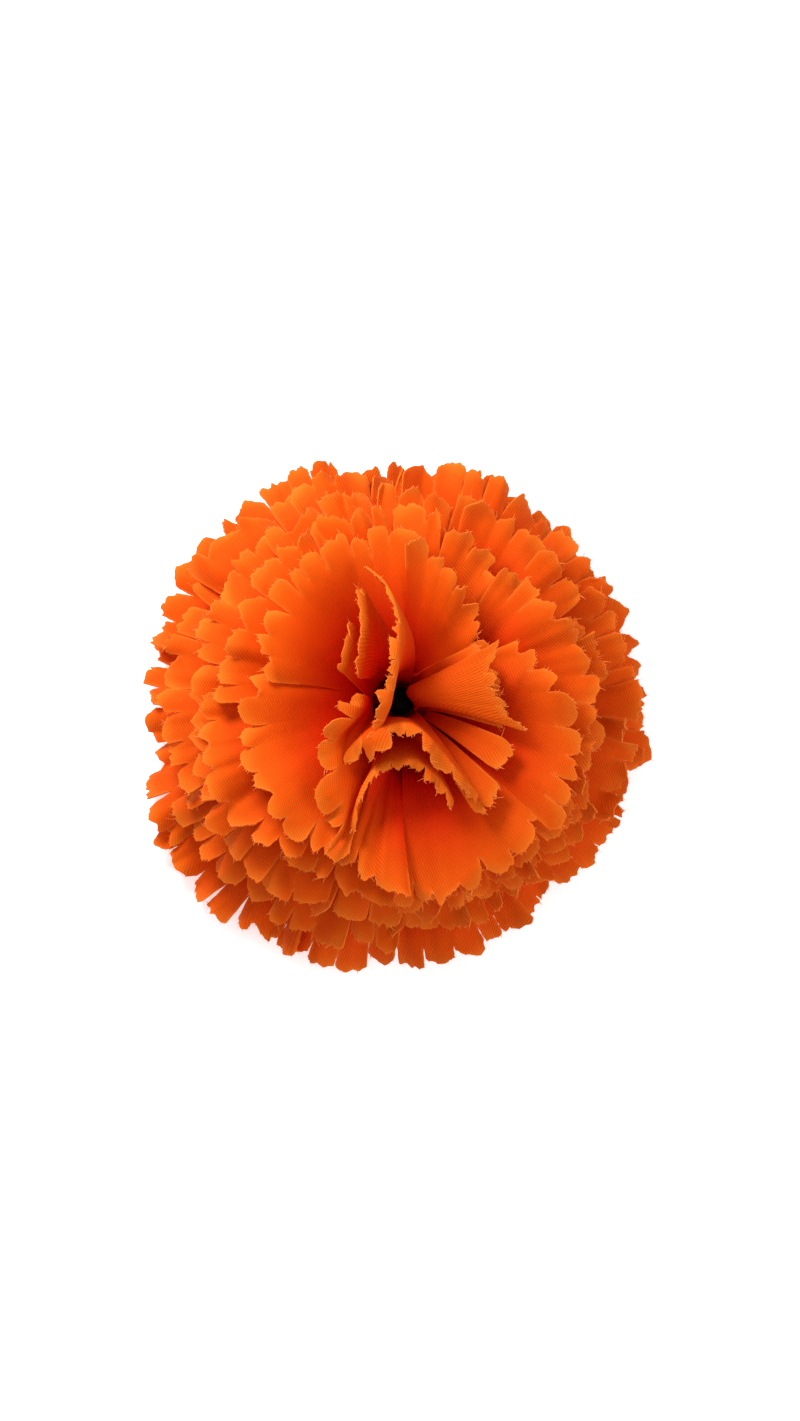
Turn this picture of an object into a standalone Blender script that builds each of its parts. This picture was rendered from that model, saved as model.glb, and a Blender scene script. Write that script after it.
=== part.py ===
"""Head of an artificial mini carnation: seven cut cloth discs threaded on a plastic pin in a calyx.

Metres, +Z up along the flower's axis, origin at the middle of the calyx's flat foot.
The sizes and tables below are in millimetres and degrees, and become metres where they are used.
"""

import math
import random
from collections import namedtuple
from functools import partial

import bmesh
import bpy
from mathutils import Vector

MM = 0.001

# Cloth discs and their stack
CLOTH_THICK = 0.6
HUB_HOLE_R = 1.1
HUB_STEP = 0.9
LOWEST_HUB_Z = 9.8
CURL_RUN = 22.0
CURL_BEND = 1.6
FIT_GAP = 0.3

# Calyx: the round body's profile as (radius, height) from the foot up, then the seat, socket and sepals
CALYX_BODY = ((3.1, 0.0), (3.5, 0.5), (3.6, 3.6), (4.5, 6.6), (5.0, 7.8))
CALYX_SEAT_R = 4.6
CALYX_SEAT_Z = 9.2
CALYX_SOCKET_R = 1.1
CALYX_SOCKET_Z = 5.0
SEPAL_COUNT = 5
SEPAL_TIP_R = 11.4
SEPAL_VALLEY_R = 5.5
SEPAL_LOWER_Z = 8.1
SEPAL_UPPER_Z = 8.8
SEPAL_DROOP = 0.06
SEPAL_SHARE = 0.85
SEPAL_TAPER = 1.3
SEPAL_OFFSETS = (-1.0, -0.8, -0.55, -0.3, -0.12, 0.0, 0.12, 0.3, 0.55, 0.8)

# Pin
PIN_R = 0.8
PIN_POINT_R = 0.4
PIN_HEAD_R = 1.5
PIN_HEAD_FLAT_R = 0.9
PIN_HEAD_EDGE = 0.55
PIN_HEAD_THICK = 1.1
PIN_STEPS = 16

# One lobe of a disc: the arc of the hub that it grows from, how far its rim is from the axis at its start,
# middle and end, how far it is lifted, tilted across and waved, and how many teeth are cut in its rim.
Lobe = namedtuple("Lobe", "start end reach lift tilt wave teeth")

# One folded lobe near the axis: the arc of the hub that it grows from, how far it stands up before it
# leans out, the points that its rim runs through, and how many teeth are cut in that rim.
Blade = namedtuple("Blade", "start end stand rim teeth")

# One disc: its place in the stack, the radius where it folds up from its flat hub, how steeply the cloth
# rises at that fold and at the rim, and how far along the run from the fold the lobes part.
Disc = namedtuple("Disc", "name step fold root_rise tip_rise parting lobes")

DISCS = (
    Disc("petal_disc_1_outermost", 0, 6.2, 12, -18, 5.0, (
        Lobe(-12, 48, (28.0, 27.6, 27.2), 0.6, 3.0, 2.2, 9),
        Lobe(48, 106, (27.8, 28.4, 26.8), 0.8, 3.0, -2.0, 8),
        Lobe(106, 163, (28.6, 29.0, 28.0), 0.0, 3.0, 2.2, 8),
        Lobe(163, 208, (28.0, 28.0, 29.6), 0.4, 2.6, -1.8, 7),
        Lobe(208, 244, (30.2, 29.4, 28.4), -0.6, 2.4, 1.6, 6),
        Lobe(244, 300, (28.0, 27.0, 26.0), 0.6, 3.0, 2.2, 8),
        Lobe(300, 348, (26.2, 27.0, 28.0), 0.0, 3.0, -2.0, 7),
    )),
    Disc("petal_disc_2", 1, 5.6, 27, -7, 5.0, (
        Lobe(-28, 30, (25.8, 25.8, 25.4), 0.4, 3.0, -2.2, 8),
        Lobe(30, 88, (25.4, 26.4, 26.0), 0.0, 3.0, 2.2, 8),
        Lobe(88, 146, (26.0, 26.8, 26.8), 0.6, 3.0, -2.0, 8),
        Lobe(146, 204, (26.6, 26.4, 26.0), 0.0, 3.0, 2.2, 8),
        Lobe(204, 268, (26.8, 27.0, 25.8), -0.4, 3.0, -2.2, 9),
        Lobe(268, 332, (25.2, 24.8, 25.2), 0.4, 3.0, 2.0, 9),
    )),
    Disc("petal_disc_3", 2, 5.0, 41, 5, 4.6, (
        Lobe(8, 70, (21.6, 22.4, 23.6), 0.0, 3.0, 2.2, 8),
        Lobe(70, 128, (23.8, 24.0, 24.0), 0.6, 3.0, -2.0, 8),
        Lobe(128, 188, (24.2, 23.4, 23.0), 0.0, 3.0, 2.2, 8),
        Lobe(188, 248, (23.4, 24.4, 24.2), -0.4, 3.0, -2.2, 8),
        Lobe(248, 308, (24.6, 24.2, 23.6), 0.4, 3.0, 2.0, 8),
        Lobe(308, 368, (23.8, 23.0, 21.8), 0.0, 3.0, -2.2, 8),
    )),
    Disc("petal_disc_4", 3, 4.4, 55, 17, 4.2, (
        Lobe(-14, 50, (20.4, 20.0, 16.8), 0.4, 2.8, 2.0, 8),
        Lobe(50, 114, (16.4, 20.4, 21.2), 0.4, 2.8, -2.2, 8),
        Lobe(114, 180, (21.0, 20.4, 19.4), 0.0, 2.8, 2.0, 8),
        Lobe(180, 236, (20.6, 21.8, 20.4), 0.0, 2.8, -2.0, 7),
        Lobe(236, 290, (21.2, 22.6, 22.2), -0.4, 2.8, 2.0, 7),
        Lobe(290, 346, (22.0, 21.8, 21.0), 0.0, 2.8, -2.2, 7),
    )),
    Disc("petal_disc_5", 4, 3.7, 66, 29, 3.8, (
        Lobe(28, 86, (10.8, 12.8, 16.8), 0.6, 2.6, 1.6, 7),
        Lobe(86, 172, (17.4, 18.2, 14.8), 0.4, 2.6, -2.0, 10),
        Lobe(172, 250, (15.2, 17.9, 18.4), 0.0, 2.6, 1.8, 9),
        Lobe(250, 271, (18.0, 19.4, 22.4), 0.0, 2.2, 0.6, 3),
        Lobe(271, 320, (20.8, 21.2, 18.4), -0.2, 2.6, -1.6, 7),
        Lobe(320, 388, (21.0, 18.0, 11.6), 0.4, 2.6, 1.8, 8),
    )),
    Disc("petal_disc_6", 5, 3.0, 77, 40, 2.6, (
        Blade(-20, 60, 6.0, (
            (9.2, -2.6, 22.0), (9.4, 0.4, 22.6), (8.6, 3.0, 22.6), (6.6, 4.8, 21.8),
        ), 6),
        Blade(60, 135, 5.6, (
            (-4.3, 10.4, 24.0), (-3.0, 8.8, 25.4), (-2.5, 5.6, 26.2), (-3.7, 0.9, 25.0),
        ), 5),
        Blade(135, 185, 6.0, (
            (-5.6, 6.9, 23.6), (-4.6, 5.0, 24.8), (-4.5, 2.4, 24.8), (-4.8, 0.2, 24.0),
        ), 4),
        Blade(185, 248, 6.4, (
            (-4.4, -0.9, 24.4), (-5.2, -3.0, 25.0), (-6.6, -6.8, 24.0),
            (-6.0, -10.4, 23.6), (-6.2, -14.0, 23.4),
        ), 7),
        Blade(248, 305, 6.4, (
            (-4.8, -12.8, 23.4), (-3.5, -8.9, 24.4), (0.1, -6.9, 25.0), (3.6, -8.5, 24.0), (5.4, -10.8, 23.0),
        ), 8),
        Blade(305, 322, 6.0, (
            (6.9, -10.9, 23.0), (8.6, -10.6, 23.3), (9.4, -9.0, 23.2),
        ), 3),
        Blade(322, 340, 6.0, (
            (9.2, -7.6, 22.5), (10.8, -6.5, 23.0), (10.6, -4.8, 23.4),
        ), 2),
    )),
    Disc("petal_disc_7_heart", 6, 2.1, 85, 50, 2.0, (
        Blade(60, 215, 9.4, (
            (-3.3, 13.1, 23.5), (-0.3, 8.6, 27.8), (0.0, 5.7, 28.6), (-0.3, 2.5, 28.6),
            (-0.9, -1.0, 27.6), (-1.6, -3.0, 26.6),
        ), 10),
        Blade(215, 325, 8.4, (
            (-5.4, -6.6, 24.0), (-2.6, -5.2, 26.0), (0.8, -4.0, 27.0), (4.3, -6.4, 26.0), (7.8, -10.2, 24.0),
        ), 8),
        Blade(325, 420, 8.0, (
            (11.3, -4.0, 23.6), (9.3, -1.7, 24.4), (8.4, 1.4, 25.2), (8.8, 4.4, 25.6),
        ), 6),
    )),
)

# The grid of a lobe, the opening between two plain lobes, and the teeth with their random spreads
BANDS = 4
SLIT_ARC = 1.2
SLIT_OPENING_SHARE = 0.25
SLIT_END_SPREAD = (-0.08, 0.2)
TOOTH_DEPTH = 2.8
TOOTH_HEIGHT_SPREAD = (0.85, 1.0)
TOOTH_LEAN = 1.0
SHOULDER_INSET = 0.16
SHOULDER_HEIGHT = 0.72
PEAK_WANDER = 0.5

# How far the sides of the folded lobes draw in and how soon, where their slits end, and how far a tooth
# that leans by a degree moves
BLADE_DRAW_IN = 5.0
BLADE_DRAW_IN_SHARE = 0.15
BLADE_SLIT_SHARE = 0.8
BLADE_LEAN = 0.2

# Finish of the pieces
ORANGE_CLOTH = (0.86, 0.16, 0.012)
CLOTH_ROUGHNESS = 0.75
CALYX_GREEN = (0.055, 0.13, 0.028)
CALYX_ROUGHNESS = 0.5
PIN_GREEN = (0.012, 0.03, 0.01)
PIN_ROUGHNESS = 0.45

SAME_PLACE = 0.02
HALVING_ROUNDS = 12


def smooth(x):
    x = min(max(x, 0.0), 1.0)
    return x * x * (3 - 2 * x)


def hub_height(disc):
    return LOWEST_HUB_Z + disc.step * HUB_STEP


def through_three(values, across):
    """The parabola through three values that stand at -1, 0 and 1."""
    first, middle, last = values
    bend = (first + last) / 2 - middle
    return middle + across * (last - first) / 2 + across * across * bend


def rise_at(disc, lobe, across, run, loose):
    """How steeply the line from the fold to a point of the cloth rises, in degrees."""
    settling = max(0.0, 1 - run / CURL_RUN) ** CURL_BEND
    rise = disc.tip_rise + (disc.root_rise - disc.tip_rise) * settling
    sway = lobe.lift + lobe.tilt * across + lobe.wave * math.sin(math.tau * across)
    return rise + smooth(loose) * sway


def tip_run_at(disc, lobe, across):
    """The run that puts the rim's tips as far from the axis as the lobe says."""
    reach = through_three(lobe.reach, across) - disc.fold
    run = reach
    for _ in range(HALVING_ROUNDS):
        slope = math.radians(rise_at(disc, lobe, across, run, 1.0))
        run = (run + reach / math.cos(slope)) / 2
    return run


def lobe_point(disc, lobe, across, out, lean):
    """The place of a point of a plain lobe. Below the parting it is one sheet with its neighbours."""
    tip_run = tip_run_at(disc, lobe, across)
    slit_run = tip_run - TOOTH_DEPTH
    parted = max(0.0, out - 1 / BANDS) / (1 - 1 / BANDS)
    if out < 0.5 / BANDS:
        run = 0.0
    elif out <= 1:
        run = disc.parting + (slit_run - disc.parting) * parted
    else:
        run = slit_run + TOOTH_DEPTH * (out - 1)
    loose = max(0.0, run - disc.parting) / (tip_run - disc.parting)
    half_arc = (lobe.end - lobe.start - SLIT_ARC * smooth(loose / SLIT_OPENING_SHARE)) / 2
    azimuth = math.radians((lobe.start + lobe.end) / 2 + across * half_arc)
    rise = math.radians(rise_at(disc, lobe, across, run, loose) + lean)
    radius = disc.fold + run * math.cos(rise)
    height = hub_height(disc) + run * math.sin(rise)
    return Vector((radius * math.cos(azimuth), radius * math.sin(azimuth), height)) * MM


def curve_point(points, along):
    """The point at 0 to 1 along the smooth curve through the given points."""
    spans = len(points) - 1
    span = min(int(along * spans), spans - 1)
    u = along * spans - span
    start, end = points[span], points[span + 1]
    before, after = points[max(span - 1, 0)], points[min(span + 2, spans)]
    straight = start * 2 + (end - before) * u
    bent = (before * 2 - start * 5 + end * 4 - after) * u**2
    turned = (start * 3 - before - end * 3 + after) * u**3
    return (straight + bent + turned) / 2


def blade_point(disc, blade, across, out, lean):
    """The place of a point of a folded lobe: it rises from the hub, then leans out to its rim."""
    in_tooth = max(0.0, out - 1)
    share = BLADE_SLIT_SHARE * (out - in_tooth) + (1 - BLADE_SLIT_SHARE) * in_tooth
    half_arc = (blade.end - blade.start) / 2 - BLADE_DRAW_IN * smooth(share / BLADE_DRAW_IN_SHARE)
    azimuth = math.radians((blade.start + blade.end) / 2 + across * half_arc)
    root = Vector((disc.fold * math.cos(azimuth), disc.fold * math.sin(azimuth), hub_height(disc)))
    above = root + Vector((0, 0, blade.stand))
    rim = curve_point([Vector(point) for point in blade.rim], (across + 1) / 2)
    rim.z += BLADE_LEAN * lean
    return (root * (1 - share) ** 2 + above * 2 * share * (1 - share) + rim * share**2) * MM


def cut_lobe(sheet, teeth, draw, place):
    """Cut one lobe as a grid with a tooth on every segment of its rim, then put each point in its place.

    place(across, out, lean) gives a point's place, where out is 0 at the fold, 1 at the slits' ends
    and 2 at the tips of the longest teeth.
    """
    corners = bmesh.ops.create_grid(sheet, x_segments=teeth, y_segments=BANDS, size=1)["verts"]
    flat = {vert: (vert.co.x, (vert.co.y + 1) / 2, 0.0) for vert in corners}
    top = [vert for vert in corners if math.isclose(flat[vert][1], 1, abs_tol=1e-5)]
    rim = [edge for edge in sheet.edges if edge.verts[0] in top and edge.verts[1] in top]
    rim.sort(key=lambda edge: flat[edge.verts[0]][0] + flat[edge.verts[1]][0])
    for vert in top:
        across = flat[vert][0]
        flat[vert] = (across, 1 + draw.uniform(*SLIT_END_SPREAD), 0.0)
    for edge in rim:
        left, right = sorted(flat[vert][0] for vert in edge.verts)
        inset = SHOULDER_INSET * (right - left)
        tall = draw.uniform(*TOOTH_HEIGHT_SPREAD)
        lean = draw.uniform(-TOOTH_LEAN, TOOTH_LEAN)
        grown = bmesh.ops.extrude_edge_only(sheet, edges=[edge])["geom"]
        shoulders = [item for item in grown if isinstance(item, bmesh.types.BMVert)]
        crest = next(item for item in grown if isinstance(item, bmesh.types.BMEdge))
        for vert in shoulders:
            side = left + inset if vert.co.x < (left + right) / 2 else right - inset
            flat[vert] = (side, 1 + SHOULDER_HEIGHT * tall, lean * SHOULDER_HEIGHT)
        _, peak = bmesh.utils.edge_split(crest, crest.verts[0], 0.5)
        wander = draw.uniform(-PEAK_WANDER, PEAK_WANDER) * inset
        flat[peak] = ((left + right) / 2 + wander, 1 + tall, lean)
    for vert, (across, out, lean) in flat.items():
        vert.co = place(across, out, lean)


def cloth_object(name, sheet, hub_z, material):
    """Join the lobes at their roots, add the flat hub ring inside them, and give the sheet its thickness."""
    bmesh.ops.remove_doubles(sheet, verts=sheet.verts, dist=SAME_PLACE * MM)
    level = hub_z * MM
    at_fold = {vert for vert in sheet.verts if abs(vert.co.z - level) < SAME_PLACE * MM}
    roots = [edge for edge in sheet.edges if edge.is_boundary and at_fold.issuperset(edge.verts)]
    grown = bmesh.ops.extrude_edge_only(sheet, edges=roots)["geom"]
    for vert in grown:
        if isinstance(vert, bmesh.types.BMVert):
            spoke = Vector((vert.co.x, vert.co.y, 0)).normalized() * HUB_HOLE_R * MM
            vert.co = (spoke.x, spoke.y, level)
    bmesh.ops.recalc_face_normals(sheet, faces=sheet.faces)
    bmesh.ops.triangulate(sheet, faces=sheet.faces)
    mesh = bpy.data.meshes.new(name)
    sheet.to_mesh(mesh)
    sheet.free()
    mesh.materials.append(material)
    obj = bpy.data.objects.new(name, mesh)
    thicken = obj.modifiers.new("cloth thickness", "SOLIDIFY")
    thicken.thickness = CLOTH_THICK * MM
    thicken.offset = 0
    return obj


def make_disc(disc, material):
    draw = random.Random(disc.step + 1)
    sheet = bmesh.new()
    for lobe in disc.lobes:
        shape = blade_point if isinstance(lobe, Blade) else lobe_point
        cut_lobe(sheet, lobe.teeth, draw, partial(shape, disc, lobe))
    return cloth_object(disc.name, sheet, hub_height(disc), material)


def make_material(name, colour, roughness):
    material = bpy.data.materials.new(name)
    material.use_nodes = True
    shader = material.node_tree.nodes["Principled BSDF"]
    shader.inputs["Base Color"].default_value = (*colour, 1)
    shader.inputs["Roughness"].default_value = roughness
    shader.inputs["Metallic"].default_value = 0
    return material


def turned_object(name, profile, steps, material):
    """A turned solid from a profile of (radius, height) points, run down its outer side."""
    mesh = bpy.data.meshes.new(name)
    points = [(radius * MM, 0, height * MM) for radius, height in profile]
    mesh.from_pydata(points, [(i, i + 1) for i in range(len(points) - 1)], [])
    mesh.materials.append(material)
    obj = bpy.data.objects.new(name, mesh)
    screw = obj.modifiers.new("turn", "SCREW")
    screw.steps = screw.render_steps = steps
    screw.use_merge_vertices = True
    screw.merge_threshold = SAME_PLACE * MM
    return obj


def make_pin(material):
    """The pin that the discs are threaded on, with the flat head that holds the stack down."""
    head_z = hub_height(DISCS[-1]) + CLOTH_THICK / 2 + FIT_GAP
    end_z = CALYX_SOCKET_Z + FIT_GAP
    profile = (
        (0, head_z + PIN_HEAD_THICK),
        (PIN_HEAD_FLAT_R, head_z + PIN_HEAD_THICK),
        (PIN_HEAD_R, head_z + PIN_HEAD_EDGE),
        (PIN_HEAD_R, head_z),
        (PIN_R, head_z),
        (PIN_R, end_z + PIN_POINT_R),
        (PIN_POINT_R, end_z),
        (0, end_z),
    )
    return turned_object("stack_pin", profile, PIN_STEPS, material)


def sepal_reach(offset):
    """How far the calyx's skirt reaches at an offset from -1 to 1 across one sepal's share of the turn."""
    narrowing = max(0.0, 1 - abs(offset) / SEPAL_SHARE) ** SEPAL_TAPER
    return SEPAL_VALLEY_R + (SEPAL_TIP_R - SEPAL_VALLEY_R) * narrowing


def make_calyx(material):
    """The moulded cup: a round foot and body lofted into a skirt of pointed sepals, seat and socket above."""
    spokes = []
    for sepal in range(SEPAL_COUNT):
        for offset in SEPAL_OFFSETS:
            azimuth = math.tau * (sepal + 0.5 + offset / 2) / SEPAL_COUNT
            reach = sepal_reach(offset)
            droop = SEPAL_DROOP * (reach - SEPAL_VALLEY_R)
            profile = CALYX_BODY + (
                (reach, SEPAL_LOWER_Z - droop),
                (reach, SEPAL_UPPER_Z - droop),
                (CALYX_SEAT_R, CALYX_SEAT_Z),
                (CALYX_SOCKET_R, CALYX_SEAT_Z),
                (CALYX_SOCKET_R, CALYX_SOCKET_Z),
            )
            spokes.append([
                Vector((radius * math.cos(azimuth), radius * math.sin(azimuth), height)) * MM
                for radius, height in profile
            ])
    body = bmesh.new()
    rings = [[body.verts.new(point) for point in spoke] for spoke in spokes]
    for spoke, following in zip(rings, rings[1:] + rings[:1]):
        for level in range(len(spoke) - 1):
            body.faces.new((spoke[level], following[level], following[level + 1], spoke[level + 1]))
    body.faces.new([spoke[0] for spoke in rings])
    body.faces.new([spoke[-1] for spoke in rings])
    bmesh.ops.recalc_face_normals(body, faces=body.faces)
    mesh = bpy.data.meshes.new("calyx")
    body.to_mesh(mesh)
    body.free()
    mesh.materials.append(material)
    return bpy.data.objects.new("calyx", mesh)


def clear_scene():
    for obj in list(bpy.data.objects):
        bpy.data.objects.remove(obj)


def build():
    clear_scene()
    cloth = make_material("orange cloth", ORANGE_CLOTH, CLOTH_ROUGHNESS)
    pieces = [make_calyx(make_material("calyx green", CALYX_GREEN, CALYX_ROUGHNESS))]
    pieces.append(make_pin(make_material("pin green", PIN_GREEN, PIN_ROUGHNESS)))
    pieces += [make_disc(disc, cloth) for disc in DISCS]
    flower = bpy.data.collections.new("mini carnation")
    bpy.context.scene.collection.children.link(flower)
    for piece in pieces:
        flower.objects.link(piece)


build()
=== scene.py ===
import math
from collections import namedtuple
from functools import partial

import bmesh
import bpy
import numpy as np
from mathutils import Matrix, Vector


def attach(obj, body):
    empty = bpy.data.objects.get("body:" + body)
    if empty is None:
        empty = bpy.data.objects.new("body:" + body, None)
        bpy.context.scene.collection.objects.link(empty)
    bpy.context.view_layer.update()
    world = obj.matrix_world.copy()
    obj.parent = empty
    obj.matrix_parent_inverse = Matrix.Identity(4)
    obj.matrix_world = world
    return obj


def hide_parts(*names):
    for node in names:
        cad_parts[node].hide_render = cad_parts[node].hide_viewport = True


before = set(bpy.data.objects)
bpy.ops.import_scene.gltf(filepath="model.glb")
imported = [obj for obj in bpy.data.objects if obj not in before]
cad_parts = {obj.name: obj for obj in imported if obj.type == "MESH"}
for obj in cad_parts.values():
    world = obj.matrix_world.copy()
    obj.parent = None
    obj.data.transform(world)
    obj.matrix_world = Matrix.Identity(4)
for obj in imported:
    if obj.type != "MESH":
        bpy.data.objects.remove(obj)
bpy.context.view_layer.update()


# The calyx and the stack pin, both moulded in dark green plastic. The calyx is the cup with five sepals that
# carries the stack of discs. The pin goes down through the discs' holes into its socket, and its flat head,
# at the bottom of the flower's pit, holds them all down. The pin's colour is darkened to near black, painted
# shade that stands in for the darkness deep in the pit.
MM = 0.001
CLOUDS_A_METRE = 260
GRAINS_A_METRE = 2600
GRAIN_STRENGTH = 0.25
GRAIN_DEPTH = 0.05
TINTS = (0.75, 1.3)
GLOSSES = (-0.08, 0.1)


def new_material(name):
    """A material, its tree of nodes, and the shader in that tree."""
    material = bpy.data.materials.new(name)
    material.use_nodes = True
    return material, material.node_tree, material.node_tree.nodes["Principled BSDF"]


def clouds(tree, place, scale, detail=2, roughness=0.5):
    """Soft random clouds all over a surface, as values from 0 to 1."""
    texture = tree.nodes.new("ShaderNodeTexNoise")
    texture.inputs["Scale"].default_value = scale
    texture.inputs["Detail"].default_value = detail
    texture.inputs["Roughness"].default_value = roughness
    tree.links.new(place, texture.inputs["Vector"])
    return texture.outputs["Fac"]


def stretched(tree, values, low, high):
    """Values from 0 to 1 stretched to run from low to high."""
    stretch = tree.nodes.new("ShaderNodeMapRange")
    stretch.inputs["To Min"].default_value = low
    stretch.inputs["To Max"].default_value = high
    tree.links.new(values, stretch.inputs["Value"])
    return stretch.outputs["Result"]


def mixed(tree, share, first, second, way="MIX"):
    """Two colours mixed. Each, and the share of the second, is given as a value or as a node's output."""
    mix = tree.nodes.new("ShaderNodeMix")
    mix.data_type = "RGBA"
    mix.blend_type = way
    for socket, value in (("Factor", share), ("A", first), ("B", second)):
        if isinstance(value, bpy.types.NodeSocket):
            tree.links.new(value, mix.inputs[socket])
        else:
            mix.inputs[socket].default_value = value
    return mix.outputs["Result"]


def add_relief(tree, heights, strength, depth):
    """Show heights from 0 to 1 as a fine relief in the surface, its depth in millimetres."""
    bump = tree.nodes.new("ShaderNodeBump")
    bump.inputs["Strength"].default_value = strength
    bump.inputs["Distance"].default_value = depth * MM
    tree.links.new(heights, bump.inputs["Height"])
    tree.links.new(bump.outputs["Normal"], tree.nodes["Principled BSDF"].inputs["Normal"])


def moulded_plastic(name, colour, roughness, shine):
    """Plastic with faint clouds in its colour and in its gloss, and a fine grain."""
    material, tree, shader = new_material(name)
    place = tree.nodes.new("ShaderNodeTexCoord").outputs["Object"]
    cloudy = clouds(tree, place, CLOUDS_A_METRE, 4)
    darker, paler = [(*(tint * c for c in colour), 1) for tint in TINTS]
    tree.links.new(mixed(tree, cloudy, darker, paler), shader.inputs["Base Color"])
    glossier, duller = [roughness + gloss for gloss in GLOSSES]
    tree.links.new(stretched(tree, cloudy, glossier, duller), shader.inputs["Roughness"])
    shader.inputs["Specular IOR Level"].default_value = shine
    add_relief(tree, clouds(tree, place, GRAINS_A_METRE, 3), GRAIN_STRENGTH, GRAIN_DEPTH)
    return material


def finish_cad_node(name, material):
    """Give a solid of the part, which shows as it is, its own finish."""
    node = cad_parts[name]
    node.data.materials.clear()
    node.data.materials.append(material)


finish_cad_node("calyx", moulded_plastic("calyx_green", (0.045, 0.12, 0.02), 0.42, 0.5))
# Painted shade: the pin is near black so that its head reads as the dark bottom of the pit.
finish_cad_node("stack_pin", moulded_plastic("pin_dark_green_as_pit_shade", (0.0015, 0.0025, 0.0015), 0.8, 0.12))


# The five outer cloth discs, each one flat cut of thin woven polyester, dyed orange: a ring of lobes round a
# small hub with a hole, their rims cut into teeth. They are pressed hot, so that the lobes rise from the hub
# and bend outward, and threaded on the pin, the outermost and flattest one lowest.

# A disc's name, its place in the stack counted from the lowest, the radius of the fold round its flat hub,
# how steeply its lobes rise at the fold and at their tips, how far beyond the fold they part, how far its
# weave is turned, and its lobes. Here and below, lengths are in millimetres and angles in degrees.
Disc = namedtuple("Disc", "name step fold root_rise tip_rise parting weave lobes")

# The angles round the axis where a lobe starts and ends, how far from the axis its rim reaches at its start,
# middle and end, how much it is lifted, tilted from edge to edge and waved, and its number of teeth
Lobe = namedtuple("Lobe", "start end reach lift tilt wave teeth")

OUTER_DISCS = (
    Disc("petal_disc_1_outermost", 0, 6.2, 12, -18, 5.0, 24, (
        Lobe(-12, 48, (28.0, 27.6, 27.2), 0.6, 3.0, 2.2, 10),
        Lobe(48, 106, (27.8, 28.4, 26.8), 0.8, 3.0, -2.0, 10),
        Lobe(106, 163, (28.6, 29.0, 28.0), 0.0, 3.0, 2.2, 9),
        Lobe(163, 208, (28.0, 28.0, 29.6), -0.6, 2.2, -1.8, 8),
        Lobe(208, 244, (30.2, 29.4, 28.4), -0.6, 2.4, 1.6, 7),
        Lobe(244, 300, (28.4, 27.6, 26.2), 0.6, 3.0, 2.2, 9),
        Lobe(300, 348, (26.0, 26.8, 27.2), 0.0, 3.0, -2.0, 8),
    )),
    Disc("petal_disc_2", 1, 5.6, 27, -7, 5.0, -30, (
        Lobe(-28, 30, (25.8, 25.8, 25.4), 0.4, 3.0, -2.2, 9),
        Lobe(30, 88, (25.4, 26.4, 26.0), 0.0, 3.0, 2.2, 9),
        Lobe(88, 146, (26.0, 26.8, 26.8), 0.6, 3.0, -2.0, 9),
        Lobe(146, 204, (26.6, 26.4, 26.0), 0.0, 3.0, 2.2, 9),
        Lobe(204, 268, (26.8, 27.0, 25.8), 0.4, 2.6, -2.2, 10),
        Lobe(268, 332, (25.2, 24.8, 25.2), 0.4, 3.0, 2.0, 10),
    )),
    Disc("petal_disc_3", 2, 5.0, 41, 5, 4.6, -34, (
        Lobe(8, 70, (21.6, 22.4, 23.6), 0.0, 3.0, 2.2, 8),
        Lobe(70, 128, (23.8, 24.0, 24.0), 0.6, 3.0, -2.0, 8),
        Lobe(128, 188, (24.2, 23.4, 23.0), 0.0, 3.0, 2.2, 8),
        Lobe(188, 248, (23.4, 24.4, 24.2), -0.4, 3.0, -2.2, 8),
        Lobe(248, 308, (24.6, 24.2, 23.6), 0.4, 3.0, 2.0, 8),
        Lobe(308, 368, (23.8, 23.0, 21.8), 0.0, 3.0, -2.2, 8),
    )),
    Disc("petal_disc_4", 3, 4.4, 55, 17, 4.2, -38, (
        Lobe(-14, 50, (20.4, 20.0, 16.8), 0.4, 2.8, 2.0, 8),
        Lobe(50, 114, (16.4, 20.4, 21.2), 0.4, 2.8, -2.2, 8),
        Lobe(114, 180, (21.0, 20.4, 19.4), 0.0, 2.8, 2.0, 8),
        Lobe(180, 236, (20.6, 21.8, 20.4), 0.0, 2.8, -2.0, 7),
        Lobe(236, 290, (21.2, 22.6, 22.2), -1.4, 2.4, 2.0, 7),
        Lobe(290, 346, (22.0, 21.8, 21.0), 0.0, 2.8, -2.2, 7),
    )),
    Disc("petal_disc_5", 4, 3.7, 66, 29, 3.8, -28, (
        Lobe(28, 86, (10.8, 12.8, 16.8), 0.6, 2.6, 1.6, 7),
        Lobe(86, 172, (17.4, 18.2, 14.8), 0.4, 1.2, -2.0, 10),
        Lobe(172, 250, (15.2, 17.9, 18.4), 0.0, 1.2, 1.8, 9),
        Lobe(250, 271, (18.0, 19.4, 22.4), -2.0, 2.2, 0.6, 3),
        Lobe(271, 320, (20.8, 21.2, 18.4), -4.2, 1.4, -1.6, 7),
        Lobe(320, 388, (21.0, 18.0, 11.6), 0.4, 2.6, 1.8, 8),
    )),
)

# How a tooth is cut: how far its peak is off its middle, how far it drops to its corners for its width,
# how that drop bends, how full its shoulders are, and how deep the small notches in its edge are
Shape = namedtuple("Shape", "off_centre drop curve shoulder notch")
SHAPES = {
    "round": Shape((0.0, 0.15), (0.3, 0.5), (2.2, 3.4), 0.65, (0.0, 0.05)),
    "pinked": Shape((0.0, 0.3), (0.05, 0.25), (2.0, 4.0), 1.0, (0.35, 0.8)),
    "pointed": Shape((0.0, 0.3), (0.3, 0.5), (1.1, 1.5), 1.0, (0.1, 0.3)),
    "slanting": Shape((0.5, 0.9), (0.3, 0.5), (1.0, 1.5), 1.0, (0.2, 0.6)),
    "whole": Shape((0.0, 0.3), (0.0, 0.1), (2.0, 3.0), 1.0, (0.1, 0.4)),
}

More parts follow.
